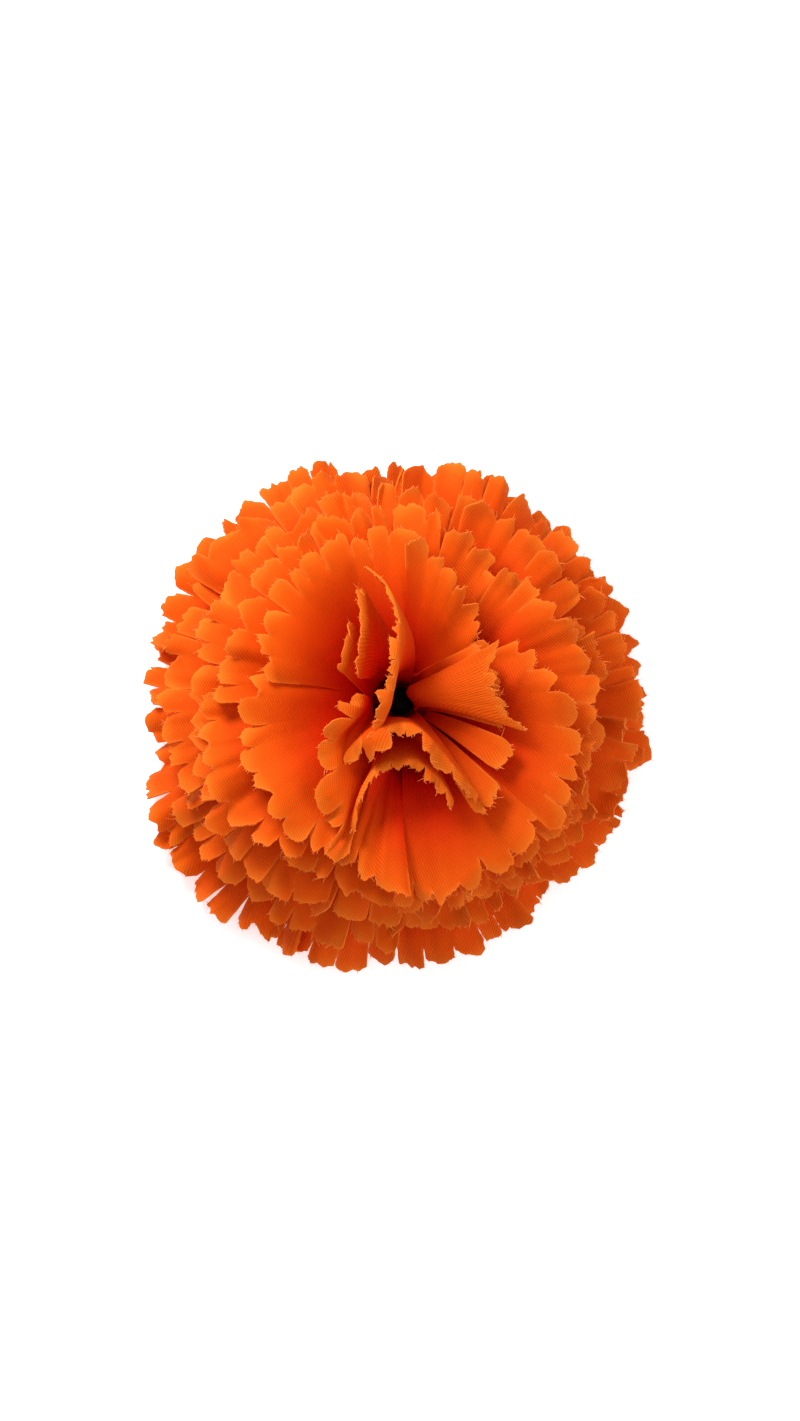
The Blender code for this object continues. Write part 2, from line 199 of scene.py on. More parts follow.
# How often each shape of tooth comes in a ragged rim and in a rounded one
RAGGED = {"round": 0.05, "pinked": 0.42, "pointed": 0.25, "slanting": 0.24, "whole": 0.04}
ROUNDED = {"round": 0.6, "pinked": 0.12, "pointed": 0.1, "slanting": 0.18}

# How a disc's rim is cut: the least and greatest depth of the slits between its teeth, how far the teeth
# bend up and how much that varies, how much they twist, how hollow they are, how often each shape comes,
# and the share of a lobe's angle that its flat cut fills
Cut = namedtuple("Cut", "slit bend bend_spread twist flute styles gather")
OUTER_CUTS = {
    "petal_disc_1_outermost": Cut((1.5, 4.6), 8, 20, 0.50, 0.10, RAGGED, 1),
    "petal_disc_2": Cut((1.5, 5.2), 8, 30, 0.60, 0.12, RAGGED, 1),
    "petal_disc_3": Cut((1.5, 5.0), 6, 30, 0.60, 0.12, RAGGED, 1),
    "petal_disc_4": Cut((1.3, 4.2), -2, 26, 0.50, 0.12, RAGGED, 1),
    "petal_disc_5": Cut((1.2, 3.4), -12, 15, 0.32, 0.10, ROUNDED, 1),
}


def smooth(x):
    """Values from 0 to 1, eased at both ends and held beyond them."""
    x = np.clip(x, 0.0, 1.0)
    return x * x * (3 - 2 * x)


def unit(vectors):
    """The same directions, each of length 1."""
    return vectors / np.linalg.norm(vectors, axis=-1, keepdims=True)


LOWEST_HUB_Z = 9.8
HUB_STEP = 0.9


def hub_height(disc):
    return LOWEST_HUB_Z + disc.step * HUB_STEP


def through_three(values, across):
    """The parabola through three values that stand at -1, 0 and 1."""
    first, middle, last = values
    return middle + across * (last - first) / 2 + across * across * ((first + last) / 2 - middle)


CURL_RUN = 22.0
CURL_BEND = 1.6


def lobe_rise(disc, lobe, across, run, loose):
    """How steeply the line from the fold to a point of the cloth rises, in degrees.

    Across runs from -1 to 1 between a lobe's edges, run is the way from the fold, and loose goes from 0 where
    the lobes part to 1 at the tips. Near its tips the lobe has settled to the lower rise.
    """
    settling = np.clip(1 - run / CURL_RUN, 0, 1) ** CURL_BEND
    rise = disc.tip_rise + (disc.root_rise - disc.tip_rise) * settling
    sway = lobe.lift + lobe.tilt * across + lobe.wave * np.sin(math.tau * across)
    return rise + smooth(loose) * sway


ROUNDS = 12


def lobe_tip_run(disc, lobe, across):
    """The run that puts the rim's tips as far from the axis as the lobe's reach says."""
    reach = through_three(lobe.reach, across) - disc.fold
    run = reach
    for _ in range(ROUNDS):
        run = (run + reach / np.cos(np.radians(lobe_rise(disc, lobe, across, run, 1.0)))) / 2
    return run


# Lobes part by a slit, and farther out each widens at both edges and laps over its neighbours
SLIT_ARC = 0.7
SLIT_OPENING_SHARE = 0.25
LAP = 2.6
LAP_FROM = 0.2


def lobe_place(disc, lobe, ripples, across, run):
    """Where the points of a lobe lie, in millimetres. Inside the fold the cloth is the flat hub."""
    tip_run = lobe_tip_run(disc, lobe, across)
    loose = np.clip(run - disc.parting, 0, None) / (tip_run - disc.parting)
    half_arc = (lobe.end - lobe.start - SLIT_ARC * smooth(loose / SLIT_OPENING_SHARE)) / 2
    half_arc = half_arc + LAP * smooth((loose - LAP_FROM) / (1 - LAP_FROM))
    azimuth = np.radians((lobe.start + lobe.end) / 2 + across * half_arc)
    ripple = sum(size * np.sin(turns * math.pi * across + phase) for turns, size, phase in ripples)
    rise = np.radians(lobe_rise(disc, lobe, across, run, loose) + ripple * smooth(loose))
    radius = disc.fold + np.where(run < 0, run, run * np.cos(rise))
    height = hub_height(disc) + np.where(run < 0, 0, run * np.sin(rise))
    return np.stack([radius * np.cos(azimuth), radius * np.sin(azimuth), height], axis=-1)


DEEPEST_DROP = 0.75
NOTCH_SPACING = (0.9, 1.4)


def tooth_outline(u, width, height, style, draw):
    """How high a tooth's cut edge stands, in millimetres, at places from -1 to 1 across it."""
    shape = SHAPES[style]
    peak = draw.uniform(*shape.off_centre) * draw.choice([-1, 1])
    from_peak = np.where(u > peak, (u - peak) / (1 - peak), (peak - u) / (1 + peak))
    drop = min(DEEPEST_DROP * height, draw.uniform(*shape.drop) * width)
    top = height - drop * (1 - (1 - from_peak ** draw.uniform(*shape.curve)) ** shape.shoulder)
    points = (u + 1) * width / 2 / draw.uniform(*NOTCH_SPACING) + draw.uniform(0, 1)
    notch = np.abs(points - np.round(points)) * 2
    uneven = 0.6 + 0.4 * np.sin(points * 2.3 + peak * 9)
    return top - draw.uniform(*shape.notch) * notch * uneven


# A disc's cloth as it is built up, block by block: its points, the same points on the flat cloth, how near
# each is to a cut edge, how far it lies from the rim, the faces, and the loose threads
Cloth = namedtuple("Cloth", "points flats cuts depths faces threads")
EDGE_WIDTH = 0.14
# The painted shade in the cloth's colour deepens with the way from the tips, down to DEEPEST.
DEEPEST = 16.0


def add_grid(cloth, points, flats, cuts, from_tip, first_row=None):
    """Add rows of points as a grid of faces, its first row being an earlier one where that is given."""
    rows, columns = points.shape[:2]
    start = sum(len(block) for block in cloth.points)
    index = start + np.arange(rows * columns).reshape(rows, columns)
    if first_row is not None:
        index = np.vstack([first_row, index])
    cloth.points.append(points.reshape(-1, 3))
    cloth.flats.append(flats.reshape(-1, 2))
    cloth.cuts.append(np.exp(-cuts / EDGE_WIDTH).reshape(-1))
    cloth.depths.append(np.clip(from_tip / DEEPEST, 0, 1).reshape(-1))
    quads = np.stack([index[:-1, :-1], index[1:, :-1], index[1:, 1:], index[:-1, 1:]], axis=-1)
    cloth.faces.append(quads.reshape(-1, 4))
    return index[-1]


def flat_cut(disc, lobe, gather, across, run):
    """The same points on the flat cloth, in millimetres, turned so that the weave's ribs run along Y."""
    half_arc = gather * (lobe.end - lobe.start) / 2
    azimuth = np.radians((lobe.start + lobe.end) / 2 + across * half_arc + disc.weave)
    radius = disc.fold + run
    return np.stack([radius * np.cos(azimuth), radius * np.sin(azimuth)], axis=-1)


NEAR_ACROSS = 0.004
NEAR_ALONG = 0.05


def facing(place, across, run):
    """The directions across the cloth, out along it, and off its lower face, at points of a lobe."""
    side = unit(place(across + NEAR_ACROSS, run) - place(across - NEAR_ACROSS, run))
    out = unit(place(across, run + NEAR_ALONG) - place(across, run - NEAR_ALONG))
    return side, out, unit(np.cross(side, out))


TOOTH_WIDTHS = (0.65, 1.45)


def random_teeth(number, cut, draw):
    """The widths, turns and styles of a lobe's teeth, drawn at random for its cut."""
    styles = draw.choice(list(cut.styles), number, p=list(cut.styles.values()))
    all_turned = cut.bend + draw.uniform(-0.5, 0.5) * cut.bend_spread
    turns = all_turned + draw.uniform(-1, 1, number) * cut.bend_spread
    return draw.uniform(*TOOTH_WIDTHS, number), turns, styles


def slits_between(widths):
    """Where the slits stand from -1 to 1 across a lobe whose teeth have the given widths."""
    return -1 + 2 * np.concatenate([[0], np.cumsum(widths)]) / np.sum(widths)


# More slits are shallow than deep, by the power EVENNESS. The hollow form of the teeth fades out within
# FLUTE_REACH of them and starts FLUTES_FROM the fold, and a lobe's sides are pale for PALE_SIDE, partly as
# frayed fibres and partly as a painted highlight.
EVENNESS = 1.2
COLUMNS_A_TOOTH = 16
ROWS_OF_LOBE = 15
FLUTE_REACH = 2.0
FLUTES_FROM = 4.0
PALE_SIDE = 2.0
NO_EDGE_NEAR = 9.0
SPAN_STEP = 0.01


def cut_lobe(cloth, disc, lobe, cut, teeth, place, tip_run, shared_runs, draw, slit_scale=None):
    """Add one lobe: a grid from the hub to the ends of its slits, and a grid for each tooth beyond them.

    slit_scale gives what the depths of the slits are multiplied by at places across the lobe. The columns
    stand closer at the sides of each tooth, and the rows a little closer towards the teeth.
    """
    widths, turns, styles = teeth
    slits = slits_between(widths)
    shallow, deep = cut.slit
    depth = shallow + (deep - shallow) * draw.uniform(0, 1, len(slits)) ** EVENNESS
    if slit_scale is not None:
        depth = depth * slit_scale(slits)
    u = np.linspace(-1, 1, COLUMNS_A_TOOTH + 1)
    u = 0.5 * u + 0.5 * np.sin(u * math.pi / 2)
    within = np.concatenate([u[:-1] for _ in widths] + [u[-1:]])
    middles = (slits[1:] + slits[:-1]) / 2
    halves = (slits[1:] - slits[:-1]) / 2
    across = np.concatenate([m + h * u[:-1] for m, h in zip(middles, halves)] + [[1.0]])
    base_run = tip_run(across) - np.interp(across, slits, depth)
    grown = np.linspace(0, 1, ROWS_OF_LOBE + 1)[1:] ** 0.85
    last_shared = shared_runs[-1]
    runs = np.array([np.full_like(across, run) for run in shared_runs]
                    + [last_shared + (base_run - last_shared) * share for share in grown])
    columns = np.broadcast_to(across, runs.shape)
    points = place(columns, runs)
    _, _, below = facing(place, columns, runs)
    fading = np.exp(-(base_run - runs) / FLUTE_REACH)
    bulge = cut.flute * (1 - np.abs(within) ** 1.4) * fading * smooth(runs / FLUTES_FROM)
    points = points - below * bulge[..., None]
    step = place(columns + SPAN_STEP, runs) - place(columns - SPAN_STEP, runs)
    span = np.linalg.norm(step, axis=-1) / (2 * SPAN_STEP)
    from_slit = np.where(base_run - runs < PALE_SIDE, (1 - np.abs(columns)) * span, NO_EDGE_NEAR)
    flats = flat_cut(disc, lobe, cut.gather, columns, runs)
    rim = add_grid(cloth, points, flats, from_slit, tip_run(columns) - runs)
    for tooth, (turn, style) in enumerate(zip(turns, styles)):
        chosen = slice(tooth * COLUMNS_A_TOOTH, (tooth + 1) * COLUMNS_A_TOOTH + 1)
        cut_tooth(cloth, disc, lobe, cut, place, tip_run, across[chosen], base_run[chosen], u,
                  rim[chosen], math.radians(turn), style, draw)


TURNED_OVER = 0.8
SHARP_BEND = 0.9
STRAIGHT = 1e-3


def bent_over(length, height, bend):
    """How far a strip of cloth goes on and how far it rises, at lengths along it, if it bends by an angle.

    It bends evenly over its whole height, but a tooth that is turned over bends sharply near its foot.
    """
    reach = height if abs(bend) < TURNED_OVER else min(height, SHARP_BEND)
    curve = bend / reach if abs(bend) > STRAIGHT else STRAIGHT
    bent = np.minimum(length, reach)
    straight = length - bent
    return (np.sin(curve * bent) / curve + straight * math.cos(bend),
            (1 - np.cos(curve * bent)) / curve + straight * math.sin(bend))


# How much teeth differ in height, in how they narrow, lean sideways, twist and hollow, and how rough their
# edges are cut. Some taper more, and whole ones widen and stay nearly flat.
ROWS_OF_TOOTH = 7
TOOTH_HEIGHTS = (0.8, 1.22)
SHORTEST_TOOTH = 0.25
ROUGH_TOP = 0.05
ROUGH_SIDE = 0.02
NARROWINGS = (-0.02, 0.12)
TAPERED_SHARE = 0.3
TAPER = 0.22
WIDER = 0.15
WHOLE_TOOTH_LOOSE = 0.2
LEAN = 0.3
TWISTS = (0.3, 1.6)
HOLLOWS = (-1.5, 1.0)


def cut_tooth(cloth, disc, lobe, cut, place, tip_run, across, base_run, u, first_row, bend, style, draw):
    """Add one tooth beyond its slits' ends. It bends up by the given angle along its length."""
    middle = (across[0] + across[-1]) / 2
    half_width = np.linalg.norm(place(across[-1], base_run[-1]) - place(across[0], base_run[0])) / 2
    height = (float(tip_run(middle)) - base_run.mean()) * draw.uniform(*TOOTH_HEIGHTS)
    top = tooth_outline(u, 2 * half_width, height, style, draw) + draw.normal(0, ROUGH_TOP, len(u))
    top = np.maximum(top + base_run.mean() - base_run, SHORTEST_TOOTH)
    v = 1 - (1 - np.linspace(0, 1, ROWS_OF_TOOTH + 1)[1:]) ** 1.5
    length = v[:, None] * top[None, :]
    spread = np.broadcast_to(u, length.shape)
    bottom = place(across, base_run)
    side, out, below = facing(place, across, base_run)
    loose = WHOLE_TOOTH_LOOSE if style == "whole" else 1.0
    narrowing = draw.uniform(*NARROWINGS) + TAPER * (draw.uniform() < TAPERED_SHARE)
    narrowing = (-WIDER if style == "whole" else narrowing) * length / height
    shift = -spread * half_width * narrowing + loose * draw.uniform(-LEAN, LEAN) * (length / height) ** 2
    shift = shift + draw.normal(0, ROUGH_SIDE, length.shape) * (np.abs(spread) > 0.98)
    onward, rise = bent_over(length, height, bend)
    twist = loose * cut.twist * draw.uniform(*TWISTS) * spread * (length / height)
    hollow = draw.uniform(*HOLLOWS) * smooth(length / height) * cut.flute
    lift = rise + twist + (cut.flute + hollow) * (1 - spread**2)
    points = bottom + side * shift[..., None] + out * onward[..., None] - below * lift[..., None]
    flats = flat_cut(disc, lobe, cut.gather, np.broadcast_to(across, length.shape), base_run + length)
    from_edge = np.minimum(top[None, :] - length, (1 - np.abs(spread)) * half_width)
    add_grid(cloth, points, flats, from_edge, height - length, first_row)
    fray_tooth(cloth, points, side, out, below, draw)


THREADS_A_TOOTH = 12
SHORTEST_THREAD = 0.1
USUAL_THREAD = 0.13
LONGEST_THREAD = 0.8
THREAD_DROOP = 0.35


def fray_tooth(cloth, points, side, out, below, draw):
    """Loose thread ends that stand out of a tooth's cut edge: each a start, a direction, a bend, a length."""
    for _ in range(THREADS_A_TOOTH):
        column = draw.integers(0, points.shape[1])
        row = -1 if 0 < column < points.shape[1] - 1 else draw.integers(1, points.shape[0])
        sideways = draw.uniform(-0.8, 0.8) + (column == points.shape[1] - 1) - (column == 0)
        heading = out[column] * draw.uniform(0.3, 1) + side[column] * sideways
        heading = unit(heading - below[column] * draw.uniform(-0.5, 0.5))
        length = min(SHORTEST_THREAD + draw.exponential(USUAL_THREAD), LONGEST_THREAD)
        cloth.threads.append((points[row, column], heading, draw.normal(0, THREAD_DROOP, 3), length))


LOWEST = 0.4
BENT_UP = 0.8


def off_the_ground(points):
    """The same points, with the tips that droop to the ground bent up along it."""
    height = points[:, 2]
    lifted = LOWEST + BENT_UP * np.exp((np.minimum(height, LOWEST + BENT_UP) - LOWEST - BENT_UP) / BENT_UP)
    return np.column_stack([points[:, :2], np.where(height < LOWEST + BENT_UP, lifted, height)])


CLOTH_THICK = 0.17
SAME_POINT = 0.01
CUT_CORNER = math.radians(50)


def cloth_object(name, cloth, material):
    """The cloth as one mesh: lobes joined where they are one sheet, flat-cut coordinates, thickness."""
    mesh = bpy.data.meshes.new(name)
    points = off_the_ground(np.concatenate(cloth.points)) * MM
    flats = np.concatenate(cloth.flats)
    mesh.from_pydata(points.tolist(), [], np.concatenate(cloth.faces).tolist())
    for attribute, blocks in (("cut_edge", cloth.cuts), ("depth", cloth.depths)):
        values = np.concatenate(blocks).astype(np.float32)
        mesh.attributes.new(attribute, "FLOAT", "POINT").data.foreach_set("value", values)
    layer = mesh.uv_layers.new(name="flat_cloth")
    corners = np.zeros(len(mesh.loops), np.int32)
    mesh.loops.foreach_get("vertex_index", corners)
    layer.data.foreach_set("uv", flats[corners].astype(np.float32).ravel())
    sheet = bmesh.new()
    sheet.from_mesh(mesh)
    bmesh.ops.remove_doubles(sheet, verts=sheet.verts, dist=SAME_POINT * MM)
    for face in sheet.faces:
        face.smooth = True
    sheet.to_mesh(mesh)
    sheet.free()
    mesh.materials.append(material)
    obj = bpy.data.objects.new(name, mesh)
    bpy.context.scene.collection.objects.link(obj)
    thicken = obj.modifiers.new("cloth thickness", "SOLIDIFY")
    thicken.thickness = CLOTH_THICK * MM
    thicken.offset = 0
    obj.data = bpy.data.meshes.new_from_object(obj.evaluated_get(bpy.context.evaluated_depsgraph_get()))
    obj.modifiers.clear()
    obj.data.name = name
    obj.data.set_sharp_from_angle(angle=CUT_CORNER)
    return obj


THREAD_R = 0.028
THREAD_RINGS = ((0.0, 1.0), (0.5, 0.9), (1.0, 0.55))
ANY_DIRECTION = (0.3, 0.5, 0.81)


def thread_object(name, threads, material):
    """All the loose thread ends of a disc in one mesh, each a thin bent three-sided stalk."""
    points, faces = [], []
    for start, heading, droop, length in threads:
        flat = unit(np.cross(heading, ANY_DIRECTION))
        other = np.cross(heading, flat)
        first = len(points)
        for step, radius in THREAD_RINGS:
            centre = start + (heading * step + droop * step**2) * length
            for corner in range(3):
                angle = math.tau * corner / 3
                points.append(centre + THREAD_R * radius * (flat * math.cos(angle) + other * math.sin(angle)))
        for ring in (first, first + 3):
            for corner in range(3):
                after = (corner + 1) % 3
                faces.append((ring + corner, ring + after, ring + 3 + after, ring + 3 + corner))
        faces.append((first + 8, first + 7, first + 6))
        faces.append((first, first + 1, first + 2))
    mesh = bpy.data.meshes.new(name)
    mesh.from_pydata((off_the_ground(np.array(points)) * MM).tolist(), [], faces)
    mesh.materials.append(material)
    obj = bpy.data.objects.new(name, mesh)
    bpy.context.scene.collection.objects.link(obj)
    return obj


# The ribs and the weaker cross threads of the weave. The wave texture repeats every pi / 10 at a scale of 1.
RIB_PITCH = 0.25
CROSS_PITCH = 0.2
CROSS_SHARE = 0.32
WAVE_TURN = 0.31416
RIB_STRENGTH = 0.9
RIB_DEPTH = 0.05

# The cloth's colour from its rims down to the pit, with painted shade. Towards the roots it turns darker and
# from orange to deep red, standing in for the shade deep between the petals, where light comes through cloth
# and off cloth. It is painted on both faces.
RIM_ORANGE = (0.96, 0.200, 0.0120, 1)
PIT_PAINTED_SHADE = (0.10, 0.001, 0.0001, 1)
PAINTED_SHADES_BETWEEN = (
    (0.10, (0.89, 0.120, 0.0035, 1)),
    (0.30, (0.84, 0.072, 0.0010, 1)),
    (0.55, (0.83, 0.026, 0.0004, 1)),
    (0.75, (0.80, 0.007, 0.0003, 1)),
)
# Paler cut edges: partly frayed fibres, partly a painted highlight where the rims catch the light.
FRAYED_AND_HIGHLIT_ORANGE = (0.98, 0.27, 0.03, 1)
SHEEN_ORANGE = (1.0, 0.5, 0.15, 1)
LIGHT_THROUGH = (0.92, 0.030, 0.0004, 1)
THROUGH_SHARE = 0.27


def thread_heights(tree, place, direction, pitch, distortion, detail_scale):
    """The heights, from 0 to 1, of threads that lie side by side in one direction of the flat cloth."""
    wave = tree.nodes.new("ShaderNodeTexWave")
    wave.bands_direction = direction
    wave.inputs["Scale"].default_value = WAVE_TURN / pitch
    wave.inputs["Distortion"].default_value = distortion
    wave.inputs["Detail"].default_value = 2
    wave.inputs["Detail Scale"].default_value = detail_scale
    tree.links.new(place, wave.inputs["Vector"])
    return wave.outputs["Fac"]


def mesh_attribute(tree, name):
    attribute = tree.nodes.new("ShaderNodeAttribute")
    attribute.attribute_name = name
    return attribute.outputs["Fac"]


def cloth_material(name):
    """Woven polyester: fine ribs with weaker cross threads and painted shade between them, uneven dye,
    painted shade towards the roots, and paler cut edges, partly frayed and partly painted highlight.
    """
    material, tree, shader = new_material(name)
    nodes, links = tree.nodes, tree.links
    flat_cloth = nodes.new("ShaderNodeUVMap")
    flat_cloth.uv_map = "flat_cloth"
    place = flat_cloth.outputs["UV"]
    weave = nodes.new("ShaderNodeMix")
    weave.inputs["Factor"].default_value = CROSS_SHARE
    links.new(thread_heights(tree, place, "X", RIB_PITCH, 0.9, 1.2), weave.inputs["A"])
    links.new(thread_heights(tree, place, "Y", CROSS_PITCH, 1.2, 1.5), weave.inputs["B"])
    heights = weave.outputs["Result"]

    # Painted shade: darker and redder with the way from the tips, by the depth attribute.
    ramp = nodes.new("ShaderNodeValToRGB")
    stops = ramp.color_ramp.elements
    stops[0].color = RIM_ORANGE
    stops[1].color = PIT_PAINTED_SHADE
    for depth, colour in PAINTED_SHADES_BETWEEN:
        stops.new(depth).color = colour
    links.new(mesh_attribute(tree, "depth"), ramp.inputs["Fac"])
    uneven_dye = stretched(tree, clouds(tree, place, 0.22, 5, 0.6), 0.80, 1.10)
    dyed_with_painted_shade = mixed(tree, 1, ramp.outputs["Color"], uneven_dye, "MULTIPLY")
    # Painted shade in the hollows of the weave: the colour is darker between the ribs.
    with_painted_rib_shade = mixed(tree, 1, dyed_with_painted_shade, stretched(tree, heights, 0.76, 1.09), "MULTIPLY")
    # Paler cut edges, partly frayed fibres and partly a painted highlight on the rims.
    fray_and_highlight = nodes.new("ShaderNodeMath")
    fray_and_highlight.operation = "MULTIPLY"
    fray_and_highlight.inputs[1].default_value = 0.5
    links.new(mesh_attribute(tree, "cut_edge"), fray_and_highlight.inputs[0])
    links.new(mixed(tree, fray_and_highlight.outputs["Value"], with_painted_rib_shade, FRAYED_AND_HIGHLIT_ORANGE), shader.inputs["Base Color"])

    add_relief(tree, heights, RIB_STRENGTH, RIB_DEPTH)
    links.new(stretched(tree, heights, 0.72, 0.58), shader.inputs["Roughness"])
    shader.inputs["Specular IOR Level"].default_value = 0.06
    shader.inputs["Sheen Weight"].default_value = 0.03
    shader.inputs["Sheen Roughness"].default_value = 0.45
    shader.inputs["Sheen Tint"].default_value = SHEEN_ORANGE
    through = nodes.new("ShaderNodeBsdfTranslucent")
    through.inputs["Color"].default_value = LIGHT_THROUGH
    thin = nodes.new("ShaderNodeMixShader")
    thin.inputs["Fac"].default_value = THROUGH_SHARE
    links.new(shader.outputs["BSDF"], thin.inputs[1])
    links.new(through.outputs["BSDF"], thin.inputs[2])
    links.new(thin.outputs["Shader"], nodes["Material Output"].inputs["Surface"])
    return material


def thread_material(name):
    """Single threads of the same yarn, paler than the cloth and not all alike."""
    material, tree, shader = new_material(name)
    place = tree.nodes.new("ShaderNodeTexCoord").outputs["Object"]
    tint = mixed(tree, clouds(tree, place, 900), (0.86, 0.15, 0.01, 1), (0.97, 0.32, 0.05, 1))
    tree.links.new(tint, shader.inputs["Base Color"])
    shader.inputs["Roughness"].default_value = 0.6
    return material


orange_cloth = cloth_material("orange_woven_polyester")
loose_thread = thread_material("loose_orange_thread")

# Shallow extra waves along a lobe's rim, each its number of turns and its size in degrees. The topmost of
# the outer discs, from CALM_STEP on, is pressed smoother. Lobes also differ in reach and lift, but those of
# the lowest disc droop less than they rise, because the ground is near.
RIPPLES = ((2, 1.6), (4, 0.8), (7, 0.35), (11, 0.25), (17, 0.08))
CALM_RIPPLES = ((2, 1.2), (4, 0.5), (7, 0.15))
CALM_STEP = 4
RIPPLE_SIZES = (0.5, 1.2)
REACH_SPREAD = 0.7
LIFT_SPREAD = 1.8
LEAST_DROOP = 0.3
HUB_HOLE_R = 1.1
SEED = 11


def ripples_of(disc, draw):
    """A lobe's extra waves, each with its turns, size in degrees and phase."""
    ripples = CALM_RIPPLES if disc.step >= CALM_STEP else RIPPLES
    return [(turns, size * draw.uniform(*RIPPLE_SIZES), draw.uniform(0, math.tau)) for turns, size in ripples]


def plain_lobe(cloth, disc, lobe, cut, draw):
    """Add a lobe that spreads out from the hub, with random teeth."""
    longer = draw.uniform(-REACH_SPREAD, REACH_SPREAD)
    droop = LEAST_DROOP if disc.step == 0 else 1
    lift = lobe.lift + draw.uniform(-droop, 1) * LIFT_SPREAD
    lobe = lobe._replace(reach=tuple(reach + longer for reach in lobe.reach), lift=lift)
    place = partial(lobe_place, disc, lobe, ripples_of(disc, draw))
    hole = HUB_HOLE_R - disc.fold
    shared_runs = (hole, hole / 2, 0.0, disc.parting / 2, disc.parting)
    teeth = random_teeth(lobe.teeth, cut, draw)
    cut_lobe(cloth, disc, lobe, cut, teeth, place, partial(lobe_tip_run, disc, lobe), shared_runs, draw)


def dress_disc(disc, cloth):
    """Make the disc's cloth and thread meshes, hang them on the root body, and hide the disc's own solid."""
    petals = cloth_object("cloth_of_" + disc.name, cloth, orange_cloth)
    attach(petals, "root")
    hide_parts(disc.name)
    fray = thread_object("frayed_threads_of_" + disc.name, cloth.threads, loose_thread)
    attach(fray, "root")
    return petals


carrier = "calyx"
for disc in OUTER_DISCS:
    draw = np.random.default_rng(disc.step + SEED)
    cloth = Cloth([], [], [], [], [], [])
    for lobe in disc.lobes:
        plain_lobe(cloth, disc, lobe, OUTER_CUTS[disc.name], draw)
    carrier = dress_disc(disc, cloth).name


# The two inner cloth discs, cut from the same cloth with fewer, narrower lobes. They are pushed up round the
# pin's head, so that their lobes stand folded on edge, and the teeth of some are turned over outward.

# The angles where a folded lobe starts and ends, how high it stands before it leans out, its bulge as shifts
# in x and y at its start, middle and end, its length from the fold to its crest, the points that the crest
# runs through, how much it waves, its teeth, and the share by which it is pinched in towards the axis
Fold = namedtuple("Fold", "start end stand bulge length crest ruffle teeth inward", defaults=(0,))

# A tooth's width next to the others', its length, how far it is turned over outward, and its shape
Tooth = namedtuple("Tooth", "width length turn style", defaults=("round",))
UPRIGHT = ((0, 0), (0, 0), (0, 0))


def even_teeth(number, length, turn, styles="round"):
    """A row of teeth of one length and turn, their styles named in order and then over again."""
    styles = styles.split()
    return tuple(Tooth(1.0, length, turn, styles[i % len(styles)]) for i in range(number))


DISC_6 = Disc("petal_disc_6", 5, 3.0, 77, 40, 2.6, -30, (
    Fold(-20, 60, 6.0, UPRIGHT, 10.5,
         ((9.2, -3.0, 21.6), (9.2, 0.4, 22.2), (8.2, 3.0, 22.2), (6.2, 4.6, 21.4)), 0.1,
         even_teeth(6, 1.6, 0, "pinked slanting")),
    Fold(60, 135, 5.6, UPRIGHT, 14.0,
         ((-3.5, 10.4, 24.2), (-3.3, 8.4, 25.2), (-3.2, 5.7, 25.8), (-4.0, 1.4, 24.8)), 0.05,
         (Tooth(1.8, 1.4, 20, "pointed"), Tooth(3.2, 1.6, 38, "whole"), Tooth(3.0, 1.8, 40, "whole"),
          Tooth(1.8, 1.6, 40, "slanting"))),
    Fold(135, 185, 6.0, UPRIGHT, 12.0,
         ((-4.7, 6.8, 23.8), (-4.9, 4.9, 24.5), (-5.3, 3.1, 24.3), (-5.7, 1.9, 23.8)), 0.05,
         (Tooth(1.6, 1.4, 20, "pointed"), Tooth(4.4, 1.7, 38, "whole"))),
    Fold(185, 248, 6.4, UPRIGHT, 14.0,
         ((-3.5, -0.4, 25.0), (-4.2, -2.4, 25.0), (-6.4, -5.0, 24.4), (-6.2, -8.4, 23.8),
          (-5.5, -12.0, 23.2), (-6.0, -14.6, 22.6)), 0.14,
         (Tooth(2.2, 2.2, 86, "round"), Tooth(1.6, 2.6, 70, "pinked"), Tooth(2.6, 3.0, 55, "round"),
          Tooth(2.9, 2.7, 74, "round"), Tooth(2.9, 3.0, 50, "round"), Tooth(2.2, 2.4, 66, "slanting"),
          Tooth(2.4, 2.8, 40, "pinked"))),
    Fold(248, 305, 6.4, UPRIGHT, 14.0,
         ((-4.9, -13.6, 22.6), (-3.9, -9.8, 23.8), (-1.7, -7.4, 24.8), (1.4, -7.0, 24.8),
          (3.8, -8.6, 24.0), (5.4, -10.8, 23.4)), 0.1,
         (Tooth(2.4, 1.4, 50, "pinked"), Tooth(2.6, 0.9, 66, "whole"), Tooth(2.0, 0.9, 76, "pinked"),
          Tooth(1.6, 1.3, 60, "pointed"), Tooth(1.8, 0.8, 80, "pinked"), Tooth(1.4, 1.6, 56, "slanting"),
          Tooth(1.6, 1.2, 70, "pinked"), Tooth(1.8, 1.8, 60, "pointed"))),
    Fold(305, 322, 6.0, UPRIGHT, 14.0,
         ((7.0, -11.2, 22.6), (8.8, -10.8, 23.0), (9.6, -8.8, 22.8)), 0.0,
         even_teeth(3, 1.4, 6, "pinked slanting")),
    Fold(322, 340, 6.0, UPRIGHT, 13.0,
         ((9.2, -7.4, 22.6), (10.8, -6.3, 22.9), (10.4, -4.4, 22.8)), 0.0,
         even_teeth(2, 1.0, -10)),
))
